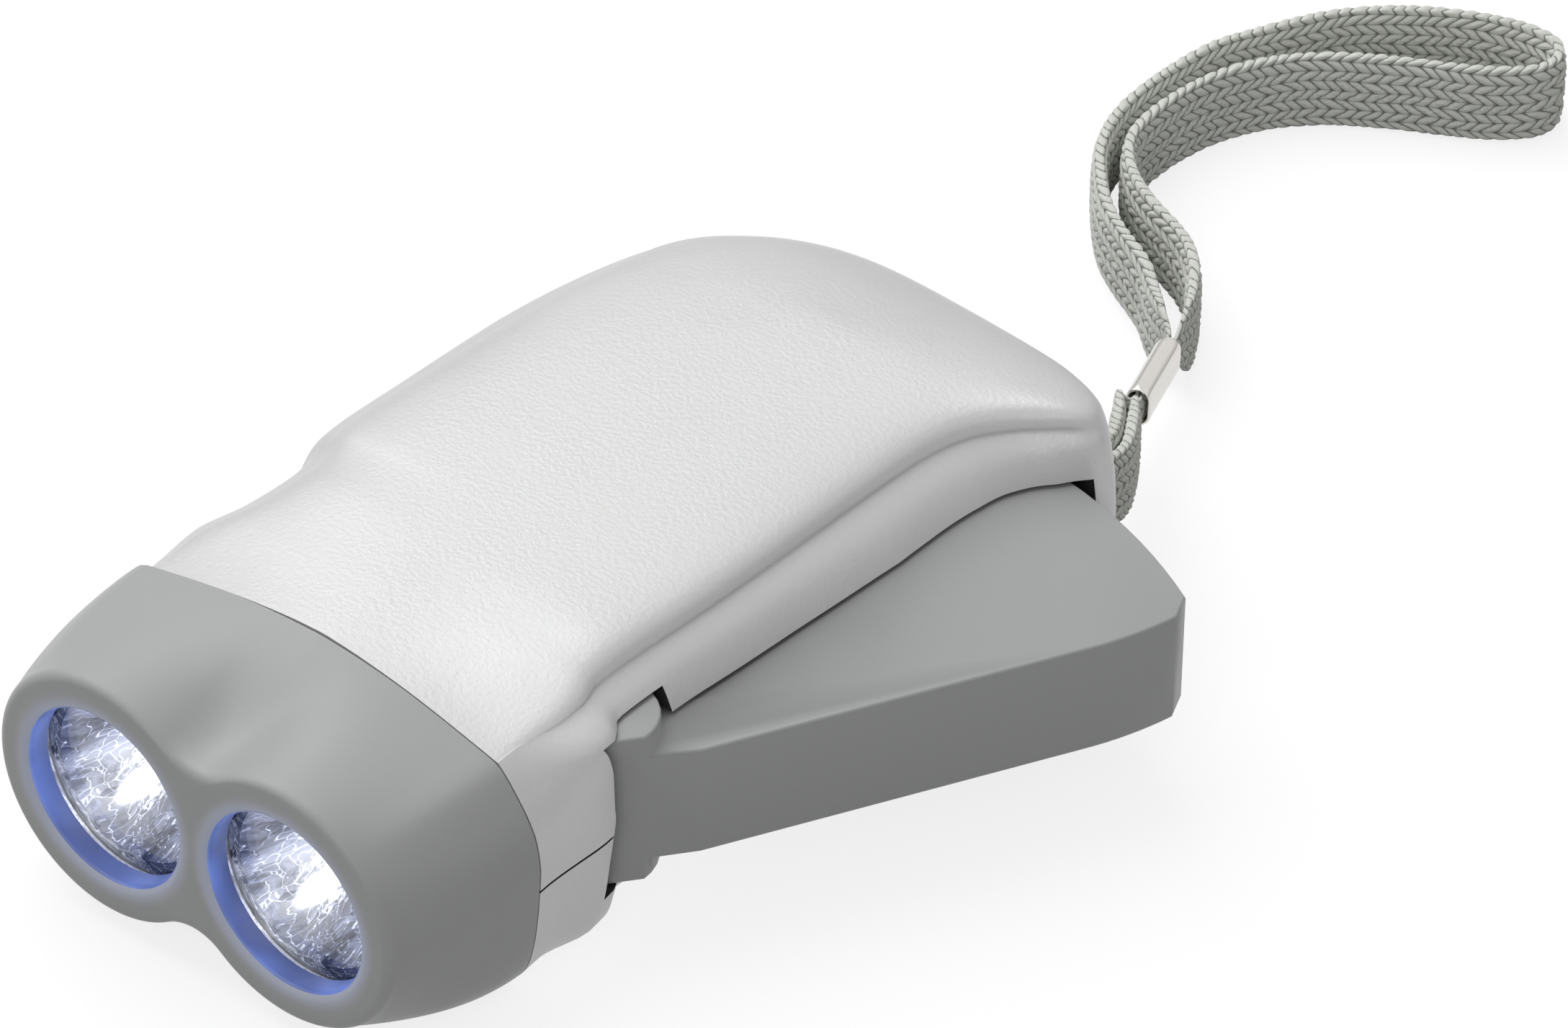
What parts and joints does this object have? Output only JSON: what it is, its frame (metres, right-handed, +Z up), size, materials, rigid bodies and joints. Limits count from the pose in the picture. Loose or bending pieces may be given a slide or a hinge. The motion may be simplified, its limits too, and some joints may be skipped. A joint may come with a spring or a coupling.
{
  "type": "hand crank flashlight",
  "caption": "Squeeze-lever dynamo flashlight with a twin-lamp head, a grip lever that swings out of the side, an internal gear train and generator, and a braided wrist strap.",
  "frame": {"origin": "on the flat base, halfway between the lens face and the tail, on the middle line between the two lamps", "axes": "+Y to the tail (the lamps shine towards -Y), +X to the side of the grip lever, +Z up from the base"},
  "size_m": [0.084, 0.2073, 0.0318],
  "materials": {
    "silver_plastic": "satin silver lacquer with a fine pebble grain",
    "grey_plastic": "soft matte mid-grey",
    "clear_plastic": "clear polished acrylic",
    "chrome": "mirror polished",
    "led_epoxy": "clear glossy, lit white",
    "board_green": "green solder mask",
    "black_plastic": "moulded black",
    "steel": "zinc plated",
    "lead_red": "red insulation",
    "white_nylon": "natural nylon",
    "dark_ferrite": "sintered dark grey",
    "copper": "enamelled copper wire",
    "sage_braid": "flat herringbone braid"
  },
  "bodies": {
    "housing": {"top_shell": "silver_plastic", "bottom_shell": "silver_plastic", "housing_screw_1": "steel", "housing_screw_2": "steel", "housing_screw_3": "steel", "housing_screw_4": "steel", "head_bezel": "grey_plastic", "lens_left": "clear_plastic", "lens_right": "clear_plastic", "reflector_left": "chrome", "reflector_right": "chrome", "led_left": "led_epoxy", "led_right": "led_epoxy", "circuit_board": "board_green", "rectifier": "black_plastic", "smoothing_capacitor": "black_plastic", "storage_cell": "steel", "cell_lead_left": "black_plastic", "cell_lead_right": "lead_red", "coil_lead_upper": "lead_red", "coil_lead_lower": "black_plastic", "pivot_pin": "steel", "return_spring": "steel", "first_axle": "steel", "second_axle": "steel", "rotor_axle": "steel", "gear_plate": "white_nylon", "plate_screw_1": "steel", "plate_screw_2": "steel", "plate_screw_3": "steel", "stator_core": "steel", "coil_bobbin": "black_plastic", "coil_winding": "copper", "strap_pin": "steel", "strap_tail_loop": "sage_braid", "strap_ferrule": "chrome", "wrist_strap": "sage_braid"},
    "lever": {"grip_lever": "grey_plastic"},
    "first_gear": {"first_gear": "white_nylon"},
    "second_gear": {"second_gear": "white_nylon"},
    "rotor": {"rotor_pinion": "white_nylon", "ring_magnet": "dark_ferrite", "flywheel": "steel"}
  },
  "joints": [
    {"name": "lever_hinge", "type": "hinge", "parent": "housing", "child": "lever", "pos_m": [0.023, -0.0184, 0.016], "axis": [0, 0, 1], "range_deg": [0, 25], "stiffness_Nm_per_rad": 0.15, "springref_deg": -28.65},
    {"name": "first_gear_spin", "type": "hinge", "parent": "housing", "child": "first_gear", "pos_m": [0.00147, -0.00034, 0.016], "axis": [0, 0, 1], "range_deg": [-150, 0]},
    {"name": "second_gear_spin", "type": "hinge", "parent": "housing", "child": "second_gear", "pos_m": [-0.00957, 0.0081, 0.016], "axis": [0, 0, 1], "range_deg": [0, 540]},
    {"name": "rotor_spin", "type": "hinge", "parent": "housing", "child": "rotor", "pos_m": [-0.01054, 0.01916, 0.016], "axis": [0, 0, 1], "range_deg": [-1836, 0]}
  ],
  "couplings": [
    {"joint": "first_gear_spin", "follows": "lever_hinge", "ratio": -6},
    {"joint": "second_gear_spin", "follows": "lever_hinge", "ratio": 21.6},
    {"joint": "rotor_spin", "follows": "lever_hinge", "ratio": -73.44}
  ]
}
